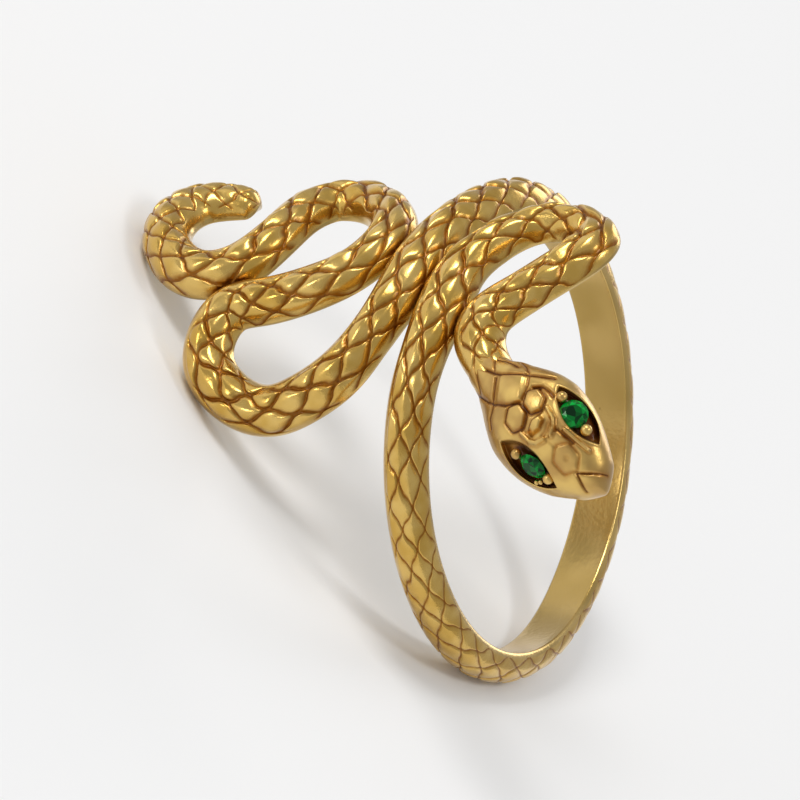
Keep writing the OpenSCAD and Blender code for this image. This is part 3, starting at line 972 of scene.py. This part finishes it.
# %% Marks on the head
# Lines: their corners as (along, across) in millimetres, then their depth and their width.
LINES = [
    ([(0.06, -0.52), (1.03, -0.12), (1.3, 0.04), (2.23, 0.87), (2.74, 1.33), (2.97, 1.56)], 0.12, 0.07),
    ([(0.06, -0.52), (0.43, -0.72), (0.98, -1.0)], 0.08, 0.06),
    ([(0.7, -1.1), (1.54, -0.97), (1.91, -0.84), (2.37, -0.52), (2.79, -0.05)], 0.12, 0.07),
    ([(1.24, -0.19), (1.77, -0.79), (1.91, -0.93), (2.05, -1.3), (2.32, -1.53)], 0.1, 0.06),
    ([(2.23, 0.87), (2.55, 0.55), (2.79, 0.08)], 0.08, 0.06),
    ([(2.23, 0.87), (1.72, 0.98), (1.35, 0.96)], 0.08, 0.06),
    ([(-0.1, 0.5), (0.43, 0.24), (0.8, 0.5), (1.12, 0.61), (1.54, 0.73)], 0.1, 0.07),
    ([(0.43, 0.24), (0.75, 0.02), (1.03, -0.12)], 0.08, 0.06),
    ([(2.75, 0.68), (3.02, 1.0), (3.3, 1.08), (3.57, 1.1)], 0.12, 0.08),
    ([(4.16, 0.34), (4.26, 0.12), (4.28, -0.12)], 0.06, 0.1),
    ([(4.54, 0.46), (5.04, 0.57), (5.3, 0.61)], 0.1, 0.06),
    ([(4.54, -0.1), (4.9, 0.0)], 0.03, 0.05),
    ([(6.04, -0.08), (6.39, 0.27), (6.8, 0.73)], 0.1, 0.06),
    ([(6.04, -0.08), (6.66, -0.38)], 0.1, 0.06),
]
# Plates: middle, half length, half width, corners, how proud, depth of the line round it
PLATES = [
    ((2.03, 0.0), 0.78, 0.86, 4, 0.06, 0.0),
    ((3.18, 0.43), 0.5, 0.5, 6, 0.1, 0.08),
    ((3.03, -0.5), 0.52, 0.52, 6, 0.1, 0.08),
    ((3.86, -0.06), 0.27, 0.46, 6, 0.22, 0.02),
    ((5.44, 0.02), 0.58, 0.56, 6, 0.01, 0.055),
    ((5.47, 0.04), 0.07, 0.07, 6, -0.03, 0.02),
]
# Raised ridges: their corners, height and half width
RIDGES = [
    ([(3.8, 0.66), (4.22, 0.6), (4.46, 0.4), (4.53, 0.14)], 0.25, 0.09),
    ([(4.42, -0.16), (4.28, -0.48), (4.05, -0.64), (3.62, -0.7)], 0.25, 0.09),
    ([(4.8, 0.68), (5.86, 0.88)], 0.22, 0.09),
]
# Share of patina in an engraved line, and of the patina that spreads beside it
LINE_DARK = 0.8
HALO = 0.32
# The higher, the sharper the corners of the plates
CORNER = 14
# Patina for each millimetre of depth, in a line and round a plate; how far it spreads beside them,
# and the width of the line round a plate, in millimetres
DARK_BY_DEPTH, DARK_ROUND_PLATE = 12, 14
SPREAD, PLATE_SPREAD = 0.18, 0.16
PLATE_LINE_W = 0.065


print(len(LINES), "lines,", len(PLATES), "plates and", len(RIDGES), "ridges")


def from_line(along, side, corners):
    """Distance of each spot to a line of straight pieces."""
    near = np.full(along.shape, 9.0)
    for (a, b), (c, d) in zip(corners, corners[1:]):
        share = ((along - a) * (c - a) + (side - b) * (d - b)) / ((c - a) ** 2 + (d - b) ** 2)
        share = np.clip(share, 0, 1)
        near = np.minimum(near, np.hypot(along - a - share * (c - a), side - b - share * (d - b)))
    return near


def in_plate(along, side, middle, half_long, half_wide, corners):
    """Distance inside a plate's edge, below 0 outside it, in millimetres."""
    x, y = (along - middle[0]) / half_long, (side - middle[1]) / half_wide
    angles = [2 * math.pi * (k + 0.5) / corners for k in range(corners)]
    flat = math.cos(math.pi / corners)
    sides = [np.maximum(x * math.cos(q) + y * math.sin(q), 0) ** CORNER for q in angles]
    reach = np.sum(sides, 0) ** (1 / CORNER)
    return (flat - reach) * min(half_long, half_wide)


def smooth_step(x, low, high):
    """0 below low, 1 above high and a smooth step between."""
    t = np.clip((x - low) / (high - low), 0, 1)
    return t * t * (3 - 2 * t)


# %% Sockets of the stones
# For the left and the right one: how far its middle lies before the stone's and to the left of
# it, its length and width in millimetres, and how far its front end turns inward, in degrees
SOCKETS = {
    1: (0.09, 0.03, 2.5, 1.04, 4),
    -1: (-0.2, 0.04, 2.75, 1.08, 9),
}
SOCKET_D = 0.42
print("sockets", [socket[2] for socket in SOCKETS.values()], "mm long")


def in_socket(along, side, which):
    """Distance inside the almond outline of two arcs."""
    before, left, long, wide, toe = SOCKETS[which]
    toe = math.radians(toe)
    x = along - EYE_ALONG * head_l - before
    y = (side - which * EYE_SIDE * head_w - left) * which
    x, y = x * math.cos(toe) - y * math.sin(toe), x * math.sin(toe) + y * math.cos(toe)
    arc = (long**2 + wide**2) / (4 * wide)
    return arc - np.hypot(x, np.abs(y) + arc - wide / 2)


def stain(strength, line, off):
    """Patina in an engraved line and, more thinly, beside it."""
    return min(1, strength) * (LINE_DARK * line + HALO * np.exp(-(off**2)))


def head_marks(along, side):
    """Height of the carving at each spot of the head's plan, and how dark it is: patina in the lines
    and round the plates, a dark edge beside each ridge, and patina with painted shadow in the sockets.
    """
    rise = np.zeros(along.shape)
    dark = np.zeros(along.shape)
    for corners, depth, width in LINES:
        off = from_line(along, side, corners)
        line = np.exp(-((off / width) ** 2))
        rise = np.minimum(rise, rise * (1 - line) - depth * line)
        dark = np.maximum(dark, stain(depth * DARK_BY_DEPTH, line, off / SPREAD))
    for middle, half_long, half_wide, corners, proud, depth in PLATES:
        deep = in_plate(along, side, middle, half_long, half_wide, corners)
        line = np.exp(-((deep / PLATE_LINE_W) ** 2))
        rise = rise + proud * smooth_step(deep, -0.02, 0.13) - depth * line
        dark = np.maximum(dark, stain(depth * DARK_ROUND_PLATE, line, deep / PLATE_SPREAD))
    for corners, proud, half in RIDGES:
        off = from_line(along, side, corners)
        rise = rise + proud * np.sqrt(np.clip(1 - (off / half) ** 2, 0, 1))
        dark = np.maximum(dark, 0.6 * np.exp(-(((off - half * 1.4) / 0.05) ** 2)))
    for which in STONES.values():
        # Each socket's hollow is darkened: patina, and painted shadow that is strongest round the stone
        deep = in_socket(along, side, which)
        hollow = smooth_step(deep, -0.015, 0.07)
        rise = rise * (1 - hollow) - SOCKET_D * hollow + 0.03 * np.exp(-(((deep + 0.06) / 0.05) ** 2))
        from_stone = np.hypot(along - EYE_ALONG * head_l, side - which * EYE_SIDE * head_w)
        shadow_round_stone = 1 - smooth_step(from_stone, 0.75, 1.3)
        dark = np.maximum(dark, smooth_step(deep, -0.02, 0.08) * (0.8 + 0.45 * shadow_round_stone))
    return rise, dark


# %% Grid of the head
HEAD_RINGS = 230
HEAD_BACK = 150
HEAD_BOTTOM = 24
HEAD_CAP = 28
# The snout rounds off from SNOUT_FROM over SNOUT_CAP mm, and the nape dives into the neck
SNOUT_FROM, SNOUT_CAP = 6.45, 0.72
NAPE_CAP = 0.12
# The crown's lean grows from the neck over this length
LEAN_FULL = 1.4
# Corners closer than this are one: the head's first and last rings become points
POINT_SEAM = 0.0004
# Along, then how much the finished head is slimmer than the solid one on its left and its right
TRIM = np.array([
    [-1, 0, 0.1],
    [0.4, 0.06, 0.08],
    [1.0, 0.18, 0.02],
    [1.7, 0.24, 0],
    [2.5, 0.18, 0],
    [3.4, 0.04, 0],
    [5.6, 0, 0.02],
    [6.3, 0, 0.14],
    [7.2, 0, 0.1],
])


def head_rings():
    """Place of each ring along the head, and how far it is closed, from 0 to 1."""
    quarter = np.linspace(0, math.pi / 2, HEAD_CAP + 1)[1:]
    nape = -NAPE_CAP * np.sin(quarter[::-1])
    snout = SNOUT_FROM + SNOUT_CAP * np.sin(quarter)
    along = np.concatenate([nape, np.linspace(0, SNOUT_FROM, HEAD_RINGS), snout])
    closed = 1 - np.cos(quarter)
    return along[:, None], np.concatenate([closed[::-1], np.zeros(HEAD_RINGS), closed])[:, None]


def head_mesh():
    """Closed mesh of the head: dome, walls and underside ring by ring."""
    count = HEAD_BACK + HEAD_BOTTOM
    along, close = head_rings()
    known = np.clip(along, 0, head_l)
    half = smooth_lookup(known, HEAD_AT, HEAD_HALF)
    tall = smooth_lookup(known, HEAD_AT, HEAD_TALL)
    k = np.arange(count)
    back = np.clip(k / HEAD_BACK, 0, 1) * math.pi
    bottom = np.clip((k - HEAD_BACK) / HEAD_BOTTOM, 0, 1)
    down = np.clip(bottom / WALL, 0, 1) * math.pi / 2
    up = np.clip((bottom - 1 + WALL) / WALL, 0, 1) * math.pi / 2
    across = np.clip((bottom - WALL) / (1 - 2 * WALL), 0, 1)
    walls = (1 - INSIDE) * (1 - np.cos(down) + np.sin(up))
    beside = -np.cos(back) - walls - 2 * INSIDE * across
    trim = [np.interp(along, TRIM[:, 0], TRIM[:, column]) for column in (1, 2)]
    side = beside * (half - np.where(beside > 0, trim[0], trim[1]))
    fall = np.sin(down) - (1 - np.cos(up))
    height = tall * (EDGE + (1 - EDGE) * np.sin(back)) - (tall * EDGE - HEAD_UNDER * head_h) * fall
    lean = HEAD_LEAN * smooth_step(along, 0, LEAN_FULL)
    rise, dark = head_marks(along + 0 * side, side - (HEAD_LEAN - lean) * height)
    on_top = smooth_step(np.sin(back), 0.08, 0.3) * (bottom == 0)
    height = height + rise * on_top
    height = tall / 2 + (height - tall / 2) * (1 - close)
    points = head_point(along + 0 * side, side * (1 - close), height, lean)
    return points.reshape(-1, 3), (dark * on_top).ravel(), len(along), count


def ring_faces(rings, count):
    """Faces of a tube of rings."""
    faces = []
    for i in range(rings - 1):
        for k in range(count):
            a, b = i * count + k, i * count + (k + 1) % count
            faces.append((a, b, b + count, a + count))
    return faces


def lay_down(mesh):
    """Turns a mesh from the worn frame to the row's, closes its seams and turns its faces outward."""
    mesh.transform(worn_to_row)
    work = bmesh.new()
    work.from_mesh(mesh)
    bmesh.ops.remove_doubles(work, verts=work.verts, dist=MM * POINT_SEAM)
    bmesh.ops.recalc_face_normals(work, faces=work.faces)
    work.to_mesh(mesh)
    work.free()


def finished(name, mesh, material, smooth=True):
    """The object of a mesh, with its shading and its material."""
    mesh.polygons.foreach_set("use_smooth", [smooth] * len(mesh.polygons))
    mesh.materials.append(material)
    return in_scene(name, mesh)


points, dark, rings, count = head_mesh()
mesh = bpy.data.meshes.new("head")
mesh.from_pydata(points.tolist(), [], ring_faces(rings, count))
keep_number(mesh, "patina_and_shade", dark)
lay_down(mesh)
head = finished("head", mesh, head_gold)
print(head.name, len(mesh.polygons) * 2, "triangles")

# %% Turn the three lengths of the body to where the part lies
for piece in lengths:
    lay_down(piece.data)
    print(piece.name, "turned")

# %% [markdown]
# Each stone is a round cut: a flat table, a crown of stars, kites and upper halves, a thin girdle
# and a pointed pavilion. Its corners lie on a few circles, and the facets are what stretches
# tightly over them, so a convex hull of those points is the stone. It takes its place from the
# CAD stone: the same table, the same direction.

# %% Cut stones
# Width of a stone, heights over and under its girdle, in millimetres
STONE_D = 1.15
CROWN_H = 0.2
PAVILION_H = 0.5
TONE_SEED = 5
# Lumps a metre of the broken reflections inside a stone, and the darkest and the lightest green
GLINTS = 2700.0
GREEN_DARK, GREEN_LIGHT = (0.0, 0.014, 0.003), (0.0, 0.42, 0.05)
# Circles of corners: radius and height as shares of the stone's, number, half turn
CIRCLES = [
    (0.58, 1.0, 8, 0.0),
    (0.80, 0.62, 8, 0.5),
    (1.0, 0.06, 16, 0.0),
    (1.0, 0.0, 16, 0.0),
    (0.52, -0.52, 8, 0.5),
    (0.0, -1.0, 1, 0.0),
]


def stone_points():
    """Corners of the stone, its table at height 0 and its point below."""
    out = []
    for radius, height, number, half_turn in CIRCLES:
        z = (height - 1) * CROWN_H if height >= 0 else height * PAVILION_H - CROWN_H
        wide = radius * STONE_D / 2
        for k in range(number):
            q = 2 * math.pi * (k + half_turn) / number
            out.append(Vector((wide * math.cos(q), wide * math.sin(q), z)))
    return out


def stone_material():
    """Deep green, each facet with its own tone, as the facets behind it throw back more or less light."""
    material, tree, shader = new_material("green_stone", Roughness=0.03, IOR=1.58, Specular_IOR_Level=0.15)
    cells = texture(tree, "Voronoi", {"Scale": GLINTS})
    glint = parts(tree, cells.outputs["Color"])[0]
    tone = (attribute(tree, "tone") * 0.55 + glint * 0.55).clamped()
    tree.links.new(mix_colour(tree, tone * tone, GREEN_DARK, GREEN_LIGHT), shader.inputs["Base Color"])
    return material


def cut_stone(name, node, material):
    """The hull of a stone's corners, on the CAD stone's table."""
    centre, normal = tables[node]
    work = bmesh.new()
    for point in stone_points():
        work.verts.new(point)
    bmesh.ops.convex_hull(work, input=work.verts)
    bmesh.ops.dissolve_limit(work, angle_limit=math.radians(0.5), verts=work.verts, edges=work.edges)
    mesh = bpy.data.meshes.new(name)
    work.to_mesh(mesh)
    work.free()
    keep_number(mesh, "tone", np.random.default_rng(TONE_SEED).random(len(mesh.polygons)), "FACE")
    turn = normal.to_track_quat("Z", "X").to_matrix().to_4x4()
    mesh.transform(Matrix.Translation(centre) @ turn @ Matrix.Scale(MM, 4))
    return finished(name, mesh, material, smooth=False)


green = stone_material()
stones = {node: cut_stone("cut_stone_" + node, node, green) for node in STONES}
print({name: len(piece.data.polygons) for name, piece in stones.items()}, "facets")

# %% Bead prongs that hold the stones
# SIDE: 1 the left stone, -1 the right one. TURN_AT: degrees round the stone, 0 towards the snout.
# SIZE: diameter in millimetres. SUNK: how far its middle lies under the table, share of SOCKET_D.
BEADS = [
    (1, 0, 0.48, 0.3),
    (1, 180, 0.46, 0.3),
    (-1, -8, 0.44, 0.3),
    (-1, 184, 0.42, 0.3),
    (-1, 24, 0.2, 0.1),
    (-1, 44, 0.2, 0.1),
]
# Gap between a stone and a bead in millimetres; below 0 the bead grips the stone
STONE_GAP = -0.01


def socket_frame(which):
    """Frame on the head at a stone: +X along the almond to the snout, +Z outward."""
    centre, normal = tables["left_eye" if which > 0 else "right_eye"]
    ahead = head_point(EYE_ALONG * head_l + 1, which * EYE_SIDE * head_w, 1.7)
    snout = worn_to_row @ Vector(ahead) - centre
    x = (snout - normal * snout.dot(normal)).normalized()
    y = normal.cross(x)
    return Matrix.Translation(centre) @ Matrix((x, y, normal)).transposed().to_4x4() @ Matrix.Scale(MM, 4)


def bead_prongs():
    """All beads in one mesh, each sunk a little in its socket."""
    work = bmesh.new()
    for which, turn, size, sunk in BEADS:
        angle = math.radians(turn) * which
        reach = (STONE_D + size) / 2 + STONE_GAP
        spot = Vector((reach * math.cos(angle), reach * math.sin(angle), -sunk * SOCKET_D))
        ball = bmesh.ops.create_uvsphere(work, u_segments=32, v_segments=20, radius=size / 2)
        move = socket_frame(which) @ Matrix.Translation(spot)
        bmesh.ops.transform(work, matrix=move, verts=ball["verts"])
    mesh = bpy.data.meshes.new("bead_prongs")
    work.to_mesh(mesh)
    work.free()
    return finished("bead_prongs", mesh, head_gold)


prongs = bead_prongs()
print(prongs.name, len(prongs.data.polygons), "faces")

# %% [markdown]
# Every dressed piece rides on the part's one body, and the CAD piece that it stands for is hidden.

# %% Tie the pieces to the frame
for piece in [*lengths, head, prongs]:
    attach(piece, "root")
    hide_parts("snake")
for node, piece in stones.items():
    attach(piece, "root")
    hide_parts(node)
print("pieces tied to the frame:", len(lengths) + 2 + len(stones))

# %% [markdown]
# The photograph looks along a line that is not square to anything: nearly across the finger, a
# little from the tail's side, and with a long lens from far away. The ring here lies on its side,
# so the camera keeps the same angle to the ring and looks down on the floor.

# %% Camera at the photograph's angle
# Angle between the lens and the finger's axis, tilt and roll of the view, in degrees
LENS_TO_FINGER = 62.78
LENS_TILT = -0.889
LENS_ROLL = 0.4135
# Middle of the frame, right of and above the hoop's middle; width of the frame; distance
FRAME_RIGHT = -4.146
FRAME_UP = 1.283
FRAME_WIDE = 30.95
LENS_AWAY = 714.0


def lens_axes():
    """Turn from the worn frame to the lens's own, with right, up and back as its axes."""
    turn, tilt, roll = (math.radians(v) for v in (LENS_TO_FINGER, LENS_TILT, LENS_ROLL))
    finger = Vector((math.sin(turn) * math.cos(tilt), math.sin(tilt), math.cos(turn) * math.cos(tilt)))
    up = Vector((0, 1, 0))
    up = (up - finger * finger.dot(up)).normalized()
    side = finger.cross(up)
    return Matrix.Rotation(roll, 3, "Z") @ Matrix((side, up, -finger)).transposed()


lens = turn_back @ lens_axes().transposed()


def in_view(right, up, back):
    """Point from its distances right of, above and in front of the ring, as the lens sees them."""
    return middle + lens @ Vector((right, up, back)) * MM


def camera():
    """A long lens far away, so that the ring shows almost no perspective."""
    data = bpy.data.cameras.new("camera")
    data.sensor_width = 36.0
    data.lens = data.sensor_width * LENS_AWAY / FRAME_WIDE
    data.clip_start, data.clip_end = 0.01, 10.0
    piece = in_scene("camera", data)
    piece.matrix_world = Matrix.Translation(in_view(FRAME_RIGHT, FRAME_UP, LENS_AWAY)) @ lens.to_4x4()
    bpy.context.scene.camera = piece
    return piece


print("camera height over the floor in mm:", round(camera().location.z / MM))

# %% [markdown]
# Gold shows what stands round it. Even, soft highlights like those in the photograph come from a
# white tent with large lamps outside it. A pale floor, a pale sky and five soft lamps do the same,
# and their places are given as the lens sees them. The faint one is there for the lower inside of
# the hoop, which mirrors it.

# %% Floor
FLOOR_HALF = 1.5


def floor():
    """A pale square on which the ring lies."""
    mesh = bpy.data.meshes.new("floor")
    corners = [(-1, -1), (1, -1), (1, 1), (-1, 1)]
    mesh.from_pydata([(x * FLOOR_HALF, y * FLOOR_HALF, 0) for x, y in corners], [], [(0, 1, 2, 3)])
    mesh.materials.append(new_material("pale_floor", Base_Color=(0.9, 0.9, 0.9, 1), Roughness=0.9)[0])
    piece = in_scene("floor", mesh)
    return piece


print(floor().name, "is", 2 * FLOOR_HALF, "m wide")

# %% Sky and lamps
SKY = 0.5
# Lamps: right, up and towards the lens in mm, size in mm, power in watts
LAMPS = {
    "lamp_above": (60, 520, 260, 200, 1.3),
    "lamp_left": (-420, 260, 420, 160, 0.7),
    "lamp_right": (480, 120, 260, 160, 0.5),
    "lamp_behind": (450, 250, -480, 330, 0.8),
    "lamp_faint": (-200, 640, -100, 400, 0.22),
}


def soft_light():
    """A grey sky from all sides, and the lamps, all turned to the ring."""
    world = bpy.data.worlds.new("studio")
    world.use_nodes = True
    world.node_tree.nodes["Background"].inputs["Color"].default_value = (SKY, SKY, SKY, 1)
    bpy.context.scene.world = world
    for name, (right, up, back, size, power) in LAMPS.items():
        data = bpy.data.lights.new(name, "AREA")
        data.shape = "SQUARE"
        data.size = size * MM
        data.energy = power
        lamp = in_scene(name, data)
        spot = in_view(right, up, back)
        lamp.location = spot
        lamp.rotation_mode = "QUATERNION"
        lamp.rotation_quaternion = (spot - middle).to_track_quat("Z", "Y")


soft_light()
bpy.context.scene.view_settings.view_transform = "Standard"
print("lamps:", ", ".join(LAMPS))
